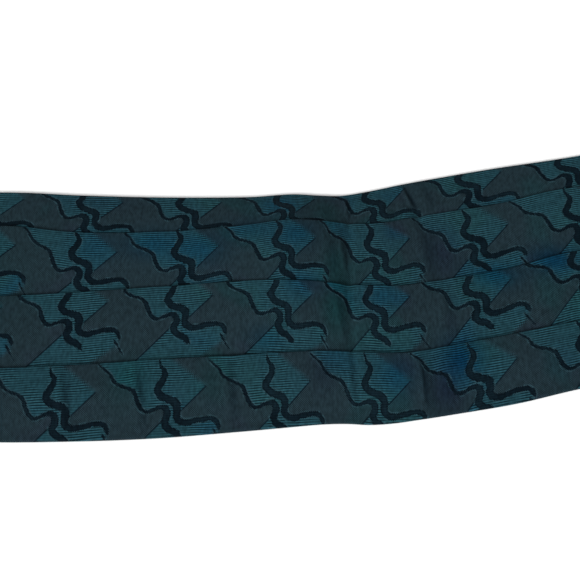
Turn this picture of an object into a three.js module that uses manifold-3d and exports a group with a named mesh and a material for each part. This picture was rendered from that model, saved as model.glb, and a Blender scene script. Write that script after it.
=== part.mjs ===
// Pleated cummerbund laid flat with its front up.
// Millimetres: X runs along the waist, Y up the body, Z out of the front.

import * as THREE from 'three';
import { mergeVertices } from 'three/addons/utils/BufferGeometryUtils.js';
import Module from 'manifold-3d';

const wasm = await Module();
wasm.setup();

// Cloth panel
const panelLength = 680;
const panelHeight = 126;
const endHeight = 58;
const cloth = 1.1;
const layerGap = 0.35;
const tuckShare = 0.28;
const hemReturn = 8;
const stationSpacing = 22;
const runSpacing = 12;
const foldSteps = 4;
const archLean = 0.35;
const archPeak = 1.18;
const riseLength = 44;
const riseMargin = 10;

// End tabs, sewn over the narrow ends of the panel
const tabOverlap = 18;
const tabReach = 24;
const tabCornerSteps = 3;
const tabCornerShare = 0.3;

// Waist straps
const strapWidth = 25;
const strapThickness = 1.2;
const strapLength = 130;
const strapFoldBack = 25;
const strapRamp = 12;
const strapInset = 3;
const strapWrapAngle = 25;
const loopSteps = 8;

// Clasp plates
const plateThickness = 1.6;
const plateMargin = 2.6;
const strapBar = 2.4;
const plateCorner = 1.8;
const slotCorner = 0.8;
const plateCornerSteps = 4;
const eyeCrossBar = 2;
const eyeSlotLength = 5.5;
const eyeSlotMargin = 4;
const eyeEndBar = 2.6;
const hookShoulder = 3.6;
const hookTongue = 12;
const hookReach = 18;
const hookReturn = 9;
const hookThroat = 2.4;
const hookFlare = 0.8;
const hookFlareLength = 2.4;
const tableClear = 0.05;

// Course of the panel, a row for each place along it.
// at: share of half the length, left is negative.
// middle: shift of the middle line up the body, as a share of the panel height.
// taper: 0 is the full height, 1 the end height.
// upper, centre, lower: the three folds, as shares of the way down from the top edge.
// arch: how far the cloth stands off the table, as a share of the panel height.
const course = [
  { at: -1.0, middle: -0.030, taper: 1.0, upper: 0.176, centre: 0.465, lower: 0.745, arch: 0 },
  { at: -0.94, middle: -0.030, taper: 1.0, upper: 0.176, centre: 0.465, lower: 0.745, arch: 0 },
  { at: -0.84, middle: -0.050, taper: 0.72, upper: 0.175, centre: 0.465, lower: 0.745, arch: 0 },
  { at: -0.72, middle: -0.070, taper: 0.30, upper: 0.173, centre: 0.465, lower: 0.745, arch: 0 },
  { at: -0.61, middle: -0.082, taper: 0.06, upper: 0.168, centre: 0.465, lower: 0.745, arch: 0 },
  { at: -0.53, middle: -0.087, taper: 0.01, upper: 0.160, centre: 0.460, lower: 0.744, arch: 0 },
  { at: -0.43, middle: -0.094, taper: 0.035, upper: 0.178, centre: 0.438, lower: 0.730, arch: 0 },
  { at: -0.31, middle: -0.093, taper: 0.072, upper: 0.173, centre: 0.416, lower: 0.714, arch: 0.008 },
  { at: -0.19, middle: -0.079, taper: 0.117, upper: 0.156, centre: 0.416, lower: 0.717, arch: 0.034 },
  { at: -0.13, middle: -0.065, taper: 0.122, upper: 0.152, centre: 0.435, lower: 0.724, arch: 0.050 },
  { at: -0.09, middle: -0.063, taper: 0.150, upper: 0.152, centre: 0.440, lower: 0.724, arch: 0.044 },
  { at: -0.06, middle: -0.063, taper: 0.157, upper: 0.154, centre: 0.444, lower: 0.724, arch: 0.026 },
  { at: -0.03, middle: -0.058, taper: 0.125, upper: 0.168, centre: 0.450, lower: 0.730, arch: 0.018 },
  { at: 0.0, middle: -0.046, taper: 0.100, upper: 0.180, centre: 0.466, lower: 0.740, arch: 0.020 },
  { at: 0.03, middle: -0.030, taper: 0.085, upper: 0.180, centre: 0.474, lower: 0.750, arch: 0.014 },
  { at: 0.07, middle: -0.010, taper: 0.074, upper: 0.178, centre: 0.473, lower: 0.748, arch: 0.006 },
  { at: 0.16, middle: 0.036, taper: 0.063, upper: 0.178, centre: 0.473, lower: 0.742, arch: 0 },
  { at: 0.25, middle: 0.086, taper: 0.092, upper: 0.156, centre: 0.450, lower: 0.745, arch: 0 },
  { at: 0.36, middle: 0.138, taper: 0.085, upper: 0.168, centre: 0.460, lower: 0.745, arch: 0 },
  { at: 0.50, middle: 0.172, taper: 0.06, upper: 0.174, centre: 0.465, lower: 0.745, arch: 0 },
  { at: 0.61, middle: 0.188, taper: 0.09, upper: 0.175, centre: 0.465, lower: 0.745, arch: 0 },
  { at: 0.72, middle: 0.198, taper: 0.31, upper: 0.175, centre: 0.465, lower: 0.745, arch: 0 },
  { at: 0.84, middle: 0.204, taper: 0.72, upper: 0.175, centre: 0.465, lower: 0.745, arch: 0 },
  { at: 0.94, middle: 0.206, taper: 1.0, upper: 0.176, centre: 0.465, lower: 0.745, arch: 0 },
  { at: 1.0, middle: 0.206, taper: 1.0, upper: 0.176, centre: 0.465, lower: 0.745, arch: 0 },
];

const half = panelLength / 2;
const foldRadius = (cloth + layerGap) / 2;
const layerStep = cloth + layerGap;
const stackHeight = 4 * cloth + 3 * layerGap;
const endRise = cloth + layerGap;
const riseStart = half - tabOverlap - riseMargin;

// Smooth value of one column of the course at a share of half the length.
function courseValue(at, column) {
  let row = 0;
  while (row < course.length - 2 && at > course[row + 1].at) {
    row += 1;
  }
  const slope = (index) => {
    const before = course[Math.max(index - 1, 0)];
    const after = course[Math.min(index + 1, course.length - 1)];
    return (after[column] - before[column]) / (after.at - before.at);
  };
  const from = course[row];
  const to = course[row + 1];
  const span = to.at - from.at;
  const t = (at - from.at) / span;
  const rest = 1 - t;
  return (
    from[column] * (1 + 2 * t) * rest * rest
    + slope(row) * span * t * rest * rest
    + to[column] * t * t * (3 - 2 * t)
    - slope(row + 1) * span * t * t * rest
  );
}

// Edges, folds and standing height of the panel at a place along it.
function sectionAt(x) {
  const at = x / half;
  const height = panelHeight + (endHeight - panelHeight) * courseValue(at, 'taper');
  const top = courseValue(at, 'middle') * panelHeight + height / 2;
  const rise = THREE.MathUtils.smoothstep(Math.abs(x), riseStart - riseLength, riseStart) * endRise;
  return {
    height,
    top,
    upper: courseValue(at, 'upper') * height,
    centre: courseValue(at, 'centre') * height,
    lower: courseValue(at, 'lower') * height,
    arch: Math.max(courseValue(at, 'arch'), 0) * panelHeight,
    rise,
  };
}

// Height that the table side of the cloth stands at, by the way down from the top edge.
// Two waves make an arch that leans to the top edge, and its peak scales it to the standing height.
function standing(section, down) {
  const share = Math.PI * THREE.MathUtils.clamp(down / section.height, 0, 1);
  return section.rise + (section.arch / archPeak) * (Math.sin(share) + archLean * Math.sin(2 * share));
}

// Places along the panel where its cross-section is drawn.
function stationPlaces() {
  const riseFoot = riseStart - riseLength;
  const fixed = [half, half - tabOverlap, riseStart, riseStart - riseLength / 2, riseFoot];
  const marks = course.map((row) => row.at * half).filter((x) => Math.abs(x) < riseFoot);
  const places = [...marks, ...fixed, ...fixed.map((x) => -x)].sort((a, b) => a - b);
  const result = [places[0]];
  for (const place of places.slice(1)) {
    const last = result[result.length - 1];
    const parts = Math.ceil((place - last) / stationSpacing);
    for (let part = 1; part <= parts; part += 1) {
      result.push(last + ((place - last) * part) / parts);
    }
  }
  return result;
}

const stations = stationPlaces();

// Straight run of a cloth layer, split into short even pieces so that it can follow the arch.
function run(from, to, count) {
  const points = [];
  for (let step = 1; step <= count; step += 1) {
    points.push(from.clone().lerp(to, step / count));
  }
  return points;
}

// Half turn of the cloth about a fold, without its two ends.
// side is -1 for a fold that points up the body and 1 for one that points down.
function halfTurn(middle, level, side, rising) {
  const points = [];
  for (let step = 1; step < foldSteps; step += 1) {
    const angle = (Math.PI * step) / foldSteps;
    const climb = -Math.cos(angle) * rising;
    const reach = side * Math.sin(angle);
    points.push(new THREE.Vector2(middle + reach * foldRadius, level + climb * foldRadius));
  }
  return points;
}

// Closed outline of a bent strip: its middle line widened by half the thickness on both sides.
function widen(path, thickness) {
  const left = [];
  const right = [];
  path.forEach((point, index) => {
    const before = path[Math.max(index - 1, 0)];
    const after = path[Math.min(index + 1, path.length - 1)];
    const arriving = point.clone().sub(index ? before : point).normalize();
    const leaving = after.clone().sub(point).normalize();
    const along = arriving.clone().add(leaving).normalize();
    const straight = index === 0 || index === path.length - 1;
    const stretch = straight ? 1 : Math.sqrt((1 + arriving.dot(leaving)) / 2);
    const across = new THREE.Vector2(-along.y, along.x).multiplyScalar(thickness / 2 / stretch);
    left.push(point.clone().add(across));
    right.push(point.clone().sub(across));
  });
  return [...left, ...right.reverse()];
}

// Level of the middle of a cloth layer, counted up from the table.
function layerLevel(layer) {
  return cloth / 2 + layer * layerStep;
}

// Start of a band: its tuck under the fold, the fold itself and the shelf over the tuck.
function foldPath(fold, tuck) {
  const turn = fold + cloth / 2 + foldRadius;
  return [
    new THREE.Vector2(fold + tuck, layerLevel(2)),
    new THREE.Vector2(turn, layerLevel(2)),
    ...halfTurn(turn, layerLevel(2.5), -1, 1),
    new THREE.Vector2(turn, layerLevel(3)),
    new THREE.Vector2(fold + tuck + layerStep, layerLevel(3)),
  ];
}

// Section of the back and the top band, drawn from the bottom of the back over the top edge.
function bodyPath(section) {
  const backEnd = section.height - hemReturn - layerGap - cloth / 2 - foldRadius;
  const turn = cloth / 2 + foldRadius;
  const bandEnd = section.upper + (section.centre - section.upper) * tuckShare;
  const back = new THREE.Vector2(backEnd, layerLevel(0));
  const turnStart = new THREE.Vector2(turn, layerLevel(0));
  const turnEnd = new THREE.Vector2(turn, layerLevel(1));
  return [
    back,
    ...run(back, turnStart, Math.ceil(panelHeight / runSpacing)),
    ...halfTurn(turn, layerLevel(0.5), -1, 1),
    turnEnd,
    ...run(turnEnd, new THREE.Vector2(bandEnd, layerLevel(1)), 3),
  ];
}

// Section of a pleat that slopes down to the layer below and runs on under the next fold.
function pleatPath(fold, next, afterNext) {
  const start = foldPath(fold, (next - fold) * tuckShare);
  const foot = new THREE.Vector2(next - layerStep, layerLevel(1));
  const end = new THREE.Vector2(next + (afterNext - next) * tuckShare, layerLevel(1));
  return [...start, ...run(start[start.length - 1], foot, 2), end];
}

// Section of the bottom pleat, which turns under at the bottom edge of the panel.
function hemPath(fold, bottom) {
  const start = foldPath(fold, (bottom - fold) * tuckShare);
  const hem = bottom - cloth / 2 - foldRadius;
  const foot = new THREE.Vector2(hem, layerLevel(1));
  return [
    ...start,
    ...run(start[start.length - 1], foot, 3),
    ...halfTurn(hem, layerLevel(0.5), 1, -1),
    new THREE.Vector2(hem, layerLevel(0)),
    new THREE.Vector2(hem - hemReturn, layerLevel(0)),
  ];
}

// Triangles across an outline whose points face each other in pairs, first with last.
function capTriangles(count) {
  const triangles = [];
  for (let index = 0; index < count / 2 - 1; index += 1) {
    const far = count - 1 - index;
    triangles.push([index, index + 1, far - 1], [index, far - 1, far]);
  }
  return triangles;
}

// Closed body through outlines that stand across X, each { x, outline } with as many points as the first.
function loft(sections) {
  const count = sections[0].outline.length;
  const rings = sections.map(({ x, outline }) => {
    const ring = THREE.ShapeUtils.area(outline) < 0 ? [...outline].reverse() : outline;
    return { x, ring };
  });
  const positions = rings.flatMap(({ x, ring }) => ring.flatMap((point) => [x, point.x, point.y]));
  const triangles = [];
  for (let step = 0; step < rings.length - 1; step += 1) {
    for (let index = 0; index < count; index += 1) {
      const a = step * count + index;
      const b = step * count + ((index + 1) % count);
      triangles.push(a, b, a + count, b, b + count, a + count);
    }
  }
  const lastRing = (rings.length - 1) * count;
  for (const [a, b, c] of capTriangles(count)) {
    triangles.push(a, c, b, lastRing + a, lastRing + b, lastRing + c);
  }
  const geometry = new THREE.BufferGeometry();
  geometry.setAttribute('position', new THREE.Float32BufferAttribute(positions, 3));
  geometry.setIndex(triangles);
  return geometry;
}

// Long piece of the panel, lofted through its section at every station.
function loftPanel(pathOf) {
  return loft(stations.map((x) => {
    const section = sectionAt(x);
    const outline = widen(pathOf(section), cloth).map((point) => (
      new THREE.Vector2(section.top - point.x, point.y + standing(section, point.x))
    ));
    return { x, outline };
  }));
}

// Manifold solid of a closed geometry.
function toSolid(geometry) {
  const bare = new THREE.BufferGeometry();
  bare.setAttribute('position', geometry.getAttribute('position'));
  bare.setIndex(geometry.getIndex());
  const merged = mergeVertices(bare);
  return new wasm.Manifold(new wasm.Mesh({
    numProp: 3,
    vertProperties: merged.getAttribute('position').array,
    triVerts: merged.getIndex().array,
  }));
}

// Geometry of a manifold solid.
function toGeometry(solid) {
  const mesh = solid.getMesh();
  const geometry = new THREE.BufferGeometry();
  geometry.setAttribute('position', new THREE.Float32BufferAttribute(mesh.vertProperties, 3));
  geometry.setIndex(Array.from(mesh.triVerts));
  return geometry;
}

// Rectangle with round corners across X, from its low and high corners.
function roundedOutline(low, high, radius) {
  const corners = [
    { y: high.x - radius, z: high.y - radius, turn: 0 },
    { y: low.x + radius, z: high.y - radius, turn: 1 },
    { y: low.x + radius, z: low.y + radius, turn: 2 },
    { y: high.x - radius, z: low.y + radius, turn: 3 },
  ];
  return corners.flatMap(({ y, z, turn }) => {
    const points = [];
    for (let step = 0; step <= tabCornerSteps; step += 1) {
      const angle = (Math.PI / 2) * (turn + step / tabCornerSteps);
      points.push(new THREE.Vector2(y + Math.cos(angle) * radius, z + Math.sin(angle) * radius));
    }
    return points;
  });
}

const endSection = (side) => sectionAt(side * half);
const strapMiddle = (side) => endSection(side).top - endSection(side).height / 2;

// Sleeve over one end of the panel, narrowing to the strap. Its hollow keeps a layer gap round both.
function endTab(side) {
  const exit = half + tabReach;
  const reach = new THREE.Vector2(strapWidth / 2 + layerGap, 0);
  const covered = stations.filter((x) => x * side >= half - tabOverlap - layerGap);
  const spaces = covered.map((x) => {
    const { top, height } = sectionAt(x);
    return {
      x,
      low: new THREE.Vector2(top - height - layerGap, cloth),
      high: new THREE.Vector2(top + layerGap, cloth + stackHeight + 2 * layerGap),
    };
  });
  spaces.sort((a, b) => (a.x - b.x) * side);
  const last = spaces[spaces.length - 1];
  last.x += side * layerGap;
  const narrow = {
    x: side * exit,
    low: new THREE.Vector2(strapMiddle(side), cloth).sub(reach),
    high: new THREE.Vector2(strapMiddle(side), cloth + strapThickness + 2 * layerGap).add(reach),
  };
  spaces.push(narrow);
  const ring = ({ x, low, high }, grow) => {
    const edge = new THREE.Vector2(grow, grow);
    const radius = Math.min(cloth, (high.y - low.y) * tabCornerShare) + grow;
    return { x, outline: roundedOutline(low.clone().sub(edge), high.clone().add(edge), radius) };
  };
  const outer = spaces.map((space) => ring(space, cloth));
  const inner = [
    { ...spaces[0], x: spaces[0].x - side * cloth },
    ...spaces,
    { ...narrow, x: narrow.x + side * cloth },
  ].map((space) => ring(space, 0));
  if (side < 0) {
    outer.reverse();
    inner.reverse();
  }
  return toGeometry(toSolid(loft(outer)).subtract(toSolid(loft(inner))));
}

const barReach = Math.hypot(strapBar, plateThickness) / 2;
const loopRadius = barReach + layerGap + strapThickness / 2;
const loopClear = loopRadius + strapThickness / 2 + layerGap;
const barHeight = strapThickness / 2 + loopRadius;
const plateHalfWidth = strapWidth / 2 + layerGap + plateMargin;

// Middle line of a strap seen from the side.
// It leaves the tab, runs along the table, goes round the clasp's bar and comes back under itself.
function strapPath() {
  const table = strapThickness / 2;
  const inTab = cloth + layerGap + strapThickness / 2;
  const doubled = table + strapThickness + layerGap;
  const foldEnd = strapLength - strapFoldBack;
  const wrap = THREE.MathUtils.degToRad(strapWrapAngle);
  const overBar = table + loopRadius * (1 + Math.cos(wrap));
  const rampStart = strapLength - loopRadius * Math.sin(wrap) - (overBar - doubled) / Math.tan(wrap);
  const points = [
    new THREE.Vector2(layerGap + strapInset, inTab),
    new THREE.Vector2(tabReach + layerGap, inTab),
    new THREE.Vector2(tabReach + strapRamp, table),
    new THREE.Vector2(foldEnd - strapRamp, table),
    new THREE.Vector2(foldEnd - layerGap, doubled),
    new THREE.Vector2(rampStart, doubled),
  ];
  for (let step = 0; step <= loopSteps; step += 1) {
    const angle = THREE.MathUtils.lerp(Math.PI / 2 + wrap, -Math.PI / 2, step / loopSteps);
    points.push(new THREE.Vector2(
      strapLength + Math.cos(angle) * loopRadius,
      barHeight + Math.sin(angle) * loopRadius,
    ));
  }
  points.push(new THREE.Vector2(foldEnd, table));
  return points;
}

// Strip seen from the side, pulled out across the waist direction and centred on Y.
function pullAcross(path, thickness, width, side) {
  const outline = widen(path, thickness).map((point) => new THREE.Vector2(side * point.x, point.y));
  const shape = new THREE.Shape(outline);
  const geometry = new THREE.ExtrudeGeometry(shape, { depth: width, bevelEnabled: false });
  return geometry.rotateX(Math.PI / 2).translate(0, width / 2, 0);
}

// Flat plate seen from above, centred on its own thickness.
function plate(shape) {
  const options = { depth: plateThickness, bevelEnabled: false, curveSegments: plateCornerSteps };
  return new THREE.ExtrudeGeometry(shape, options).translate(0, 0, -plateThickness / 2);
}

// Rectangle with round corners seen from above, or a slot when used as a hole.
function roundedShape(fromX, toX, halfWidth, radius, Kind) {
  const left = Math.min(fromX, toX);
  const right = Math.max(fromX, toX);
  const shape = new Kind();
  shape.moveTo(left + radius, -halfWidth);
  shape.lineTo(right - radius, -halfWidth);
  shape.absarc(right - radius, radius - halfWidth, radius, -Math.PI / 2, 0, false);
  shape.absarc(right - radius, halfWidth - radius, radius, 0, Math.PI / 2, false);
  shape.absarc(left + radius, halfWidth - radius, radius, Math.PI / 2, Math.PI, false);
  shape.absarc(left + radius, radius - halfWidth, radius, Math.PI, Math.PI * 1.5, false);
  return shape;
}

// Part of a clasp plate that the strap loops round: a bar and a slot, out to a given length.
function strapPlate(side, length) {
  const shape = roundedShape(-side * strapBar / 2, side * length, plateHalfWidth, plateCorner, THREE.Shape);
  const slotHalf = strapWidth / 2 + layerGap;
  shape.holes.push(roundedShape(side * strapBar / 2, side * loopClear, slotHalf, slotCorner, THREE.Path));
  return shape;
}

// Eye plate: the strap's slot, a bar, and the slot that the hook goes through.
function claspEye(side) {
  const slotStart = loopClear + eyeCrossBar;
  const slotEnd = slotStart + eyeSlotLength;
  const shape = strapPlate(side, slotEnd + eyeEndBar);
  const slotHalf = plateHalfWidth - eyeSlotMargin;
  shape.holes.push(roundedShape(side * slotStart, side * slotEnd, slotHalf, slotCorner, THREE.Path));
  return plate(shape);
}

// Hook plate: the strap's slot and a narrow tongue that bends up and back over itself.
function claspHook(side) {
  const base = plate(strapPlate(side, loopClear + hookShoulder));
  const bend = (hookThroat + plateThickness) / 2;
  const path = [new THREE.Vector2(loopClear + hookShoulder / 2, 0)];
  for (let step = 0; step <= loopSteps; step += 1) {
    const angle = (Math.PI * step) / loopSteps - Math.PI / 2;
    path.push(new THREE.Vector2(hookReach + Math.cos(angle) * bend, bend + Math.sin(angle) * bend));
  }
  path.push(new THREE.Vector2(hookReach - hookReturn + hookFlareLength, 2 * bend));
  path.push(new THREE.Vector2(hookReach - hookReturn, 2 * bend + hookFlare));
  const tongue = pullAcross(path, plateThickness, hookTongue, side);
  return toGeometry(toSolid(base).add(toSolid(tongue)));
}

// Slope at which a plate hangs in its strap loop with its far end just clear of the table.
function plateSlope(far) {
  const drop = barHeight - tableClear;
  const corner = Math.hypot(far, plateThickness / 2);
  return Math.asin(drop / corner) - Math.atan2(plateThickness / 2, far);
}

const fabric = new THREE.MeshStandardMaterial({ color: 0x1c313a, roughness: 0.7, metalness: 0 });
const paleFabric = new THREE.MeshStandardMaterial({ color: 0x2c434d, roughness: 0.7, metalness: 0 });
const webbing = new THREE.MeshStandardMaterial({ color: 0x14181c, roughness: 0.8, metalness: 0 });
const steel = new THREE.MeshStandardMaterial({ color: 0x4a4d50, roughness: 0.35, metalness: 1 });

const part = new THREE.Group();

function add(name, geometry, material) {
  const mesh = new THREE.Mesh(geometry, material.clone());
  mesh.name = name;
  part.add(mesh);
  return mesh;
}

// Clasp plate hung on its bar at the end of a strap.
function addClasp(name, geometry, side, far) {
  const mesh = add(name, geometry, steel);
  mesh.position.set(side * (half + strapLength), strapMiddle(side), barHeight);
  mesh.rotation.y = side * plateSlope(far);
}

add('panel_body', loftPanel(bodyPath), fabric);
add('pleat_upper', loftPanel((s) => pleatPath(s.upper, s.centre, s.lower)), paleFabric);
add('pleat_middle', loftPanel((s) => pleatPath(s.centre, s.lower, s.height)), fabric);
add('pleat_lower', loftPanel((s) => hemPath(s.lower, s.height)), paleFabric);

for (const [name, side] of [['left', -1], ['right', 1]]) {
  add(`end_tab_${name}`, endTab(side), webbing);
  const strap = add(`strap_${name}`, pullAcross(strapPath(), strapThickness, strapWidth, side), webbing);
  strap.position.set(side * half, strapMiddle(side), 0);
}

addClasp('clasp_eye', claspEye(-1), -1, loopClear + eyeCrossBar + eyeSlotLength + eyeEndBar);
addClasp('clasp_hook', claspHook(1), 1, hookReach);

// The origin stands on the table under the middle of the whole part.
part.updateMatrixWorld(true);
const box = new THREE.Box3().setFromObject(part, true);
const middle = box.getCenter(new THREE.Vector3());
part.position.set(-middle.x, -middle.y, -box.min.z);

export default part;
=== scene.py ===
# A pleated cummerbund that lies flat with its front up.
# The dictionaries are in millimetres and degrees where no note says otherwise. Blender gets metres.

import math

import bpy
import numpy as np
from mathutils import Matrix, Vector


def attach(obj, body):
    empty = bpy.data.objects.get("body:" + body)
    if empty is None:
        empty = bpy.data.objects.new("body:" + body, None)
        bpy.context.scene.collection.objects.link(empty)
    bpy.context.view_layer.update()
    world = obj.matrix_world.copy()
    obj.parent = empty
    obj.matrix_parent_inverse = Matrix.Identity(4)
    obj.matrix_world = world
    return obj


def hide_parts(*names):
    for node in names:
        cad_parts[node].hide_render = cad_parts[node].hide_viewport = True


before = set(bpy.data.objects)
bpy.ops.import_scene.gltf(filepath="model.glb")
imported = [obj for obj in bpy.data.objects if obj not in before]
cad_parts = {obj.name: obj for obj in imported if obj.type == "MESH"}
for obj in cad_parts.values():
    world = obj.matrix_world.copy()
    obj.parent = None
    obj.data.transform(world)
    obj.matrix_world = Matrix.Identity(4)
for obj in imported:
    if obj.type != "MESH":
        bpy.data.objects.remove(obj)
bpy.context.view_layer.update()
print("frame: loaded", len(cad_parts), "nodes")

mm = 0.001

# The middle of the panel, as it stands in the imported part.
panelPlace = (-3.754, -4.957)

panel = {
    "length": 680.0,
    "height": 126.0,
    "endHeight": 58.0,
    "cloth": 0.62,  # thickness of one layer
    "layerGap": 0.08,  # air between two pressed layers
    "shelfLevel": 4.25,  # middle of the cloth on top of a fold
    "edgeLevel": 1.75,  # middle of the front cloth at the top edge
    "hemLevel": 1.35,  # middle of the front cloth at the bottom edge
    "tuckShare": 0.28,
    "hemReturn": 8.0,
    "edgeReach": 0.5,  # the thin edges stand this much further out than the thick CAD ones
    "tabOverlap": 18.0,
    "endRise": 1.45,
    "riseLength": 44.0,
    "riseMargin": 10.0,
    "archLean": 0.35,
    "archPeak": 1.18,
    "dipFloor": 1.0,  # lowest level that a crease presses the front cloth to
    "deepestDip": 0.9,
    "columnStep": 1.0,
    "fineStep": 0.4,  # between the columns where the sharpest creases are
    "fineSpans": [(-28.0, -12.0), (5.0, 21.0)],
    "turnSteps": 8,
    "tuckRows": 4,  # rows of cloth in each stretch between two turns
    "shelfRows": 8,
    "backRows": 20,
    "topBandRows": 20,
    "bandRows": 24,
    "hemBandRows": 26,
    "hemClear": 1.2,  # between the back cloth and the hem's return
    "topFoot": 0.5,  # a band reaches its foot this far before the next fold
    "bandFoot": 0.6,
    "lowestPoint": 0.02,
}

# Course of the panel: place along it as a share of half the length, middle line, taper,
# upper, centre and lower fold as shares of the height, and how far the cloth stands off.
course = np.array([
    (-1.00, -0.030, 1.000, 0.176, 0.465, 0.745, 0.000),
    (-0.94, -0.030, 1.000, 0.176, 0.465, 0.745, 0.000),
    (-0.84, -0.050, 0.720, 0.175, 0.465, 0.745, 0.000),
    (-0.72, -0.070, 0.300, 0.173, 0.465, 0.745, 0.000),
    (-0.61, -0.082, 0.060, 0.168, 0.465, 0.745, 0.000),
    (-0.53, -0.087, 0.010, 0.160, 0.460, 0.744, 0.000),
    (-0.43, -0.094, 0.035, 0.178, 0.438, 0.730, 0.000),
    (-0.31, -0.093, 0.072, 0.173, 0.416, 0.714, 0.008),
    (-0.19, -0.079, 0.117, 0.156, 0.416, 0.717, 0.034),
    (-0.13, -0.065, 0.122, 0.152, 0.435, 0.724, 0.050),
    (-0.09, -0.063, 0.150, 0.152, 0.440, 0.724, 0.044),
    (-0.06, -0.063, 0.157, 0.154, 0.444, 0.724, 0.026),
    (-0.03, -0.058, 0.125, 0.168, 0.450, 0.730, 0.018),
    (0.00, -0.046, 0.100, 0.180, 0.466, 0.740, 0.020),
    (0.03, -0.030, 0.085, 0.180, 0.474, 0.750, 0.014),
    (0.07, -0.010, 0.074, 0.178, 0.473, 0.748, 0.006),
    (0.16, 0.036, 0.063, 0.178, 0.473, 0.742, 0.000),
    (0.25, 0.086, 0.092, 0.156, 0.450, 0.745, 0.000),
    (0.36, 0.138, 0.085, 0.168, 0.460, 0.745, 0.000),
    (0.50, 0.172, 0.060, 0.174, 0.465, 0.745, 0.000),
    (0.61, 0.188, 0.090, 0.175, 0.465, 0.745, 0.000),
    (0.72, 0.198, 0.310, 0.175, 0.465, 0.745, 0.000),
    (0.84, 0.204, 0.720, 0.175, 0.465, 0.745, 0.000),
    (0.94, 0.206, 1.000, 0.176, 0.465, 0.745, 0.000),
    (1.00, 0.206, 1.000, 0.176, 0.465, 0.745, 0.000),
])

half = panel["length"] / 2
layerStep = panel["cloth"] + panel["layerGap"]
footLevel = panel["shelfLevel"] - 2 * layerStep


def smoothStep(value, low, high):
    share = np.clip((value - low) / (high - low), 0, 1)
    return share * share * (3 - 2 * share)


def courseAt(at):
    # One smooth curve through each column of the course.
    places = course[:, 0]
    slopes = np.empty_like(course)
    slopes[1:-1] = (course[2:] - course[:-2]) / (places[2:] - places[:-2])[:, None]
    slopes[0] = (course[1] - course[0]) / (places[1] - places[0])
    slopes[-1] = (course[-1] - course[-2]) / (places[-1] - places[-2])
    row = np.clip(np.searchsorted(places, at, side="left") - 1, 0, len(places) - 2)
    span = (places[row + 1] - places[row])[:, None]
    t = (at[:, None] - places[row][:, None]) / span
    rest = 1 - t
    return (
        course[row] * (1 + 2 * t) * rest * rest
        + slopes[row] * span * t * rest * rest
        + course[row + 1] * t * t * (3 - 2 * t)
        - slopes[row + 1] * span * t * t * rest
    )


def sectionsAt(x):
    # Edges, folds and standing height at places along the panel.
    found = courseAt(x / half)
    height = panel["height"] + (panel["endHeight"] - panel["height"]) * found[:, 2]
    riseEnd = half - panel["tabOverlap"] - panel["riseMargin"]
    return {
        "x": x,
        "height": height,
        "top": found[:, 1] * panel["height"] + height / 2,
        "upper": found[:, 3] * height,
        "centre": found[:, 4] * height,
        "lower": found[:, 5] * height,
        "arch": np.maximum(found[:, 6], 0) * panel["height"],
        "rise": smoothStep(np.abs(x), riseEnd - panel["riseLength"], riseEnd) * panel["endRise"],
    }


# Soft creases across the panel, the same for all layers of the stack.
# Each crease: place along the panel, depth, width, lean, and from where to where down the panel.
creases = [
    {"at": -16.5, "depth": -0.95, "width": 2.2, "lean": -0.03, "from": -0.1, "to": 0.62},
    {"at": -24.5, "depth": 0.50, "width": 3.0, "lean": 0.02, "from": 0.10, "to": 0.80},
    {"at": -19.5, "depth": -0.70, "width": 2.0, "lean": 0.03, "from": 0.45, "to": 0.92},
    {"at": 11.5, "depth": -1.15, "width": 2.4, "lean": 0.22, "from": -0.3, "to": 0.34},
    {"at": 6.5, "depth": 0.45, "width": 2.8, "lean": 0.16, "from": -0.3, "to": 0.30},
    {"at": 26.0, "depth": -0.55, "width": 3.6, "lean": -0.04, "from": 0.16, "to": 0.66},
    {"at": 15.5, "depth": -1.00, "width": 2.2, "lean": 0.03, "from": 0.70, "to": 1.20},
    {"at": 21.5, "depth": 0.40, "width": 3.0, "lean": 0.03, "from": 0.66, "to": 1.20},
    {"at": -96.0, "depth": -0.40, "width": 3.4, "lean": 0.10, "from": 0.70, "to": 1.10},
    {"at": 62.0, "depth": -0.35, "width": 4.0, "lean": -0.08, "from": 0.05, "to": 0.55},
]

# Short sharp wrinkles in the front of single bands: place along the panel, lift, width and lean.
wrinkles = {
    "top": [(8.5, 1.25, 1.2, 0.36), (-18.5, 0.95, 1.1, 0.06), (17.5, 0.50, 2.2, 0.20)],
    "upper": [(-23.5, 0.60, 1.3, 0.16), (-29.0, 0.45, 2.4, 0.04), (15.0, 0.50, 2.4, 0.10)],
    "middle": [(-25.5, 0.40, 1.4, 0.16), (24.0, 0.60, 2.4, 0.05), (112.0, 0.50, 2.8, -0.10)],
    "lower": [
        (11.5, 1.25, 1.2, 0.08), (-19.5, 0.45, 1.4, 0.06), (-147.0, 0.85, 1.9, 0.16),
        (-114.5, 0.85, 1.9, 0.14), (-74.0, 0.75, 2.0, 0.10), (86.0, 0.60, 2.6, -0.08),
    ],
}

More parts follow.
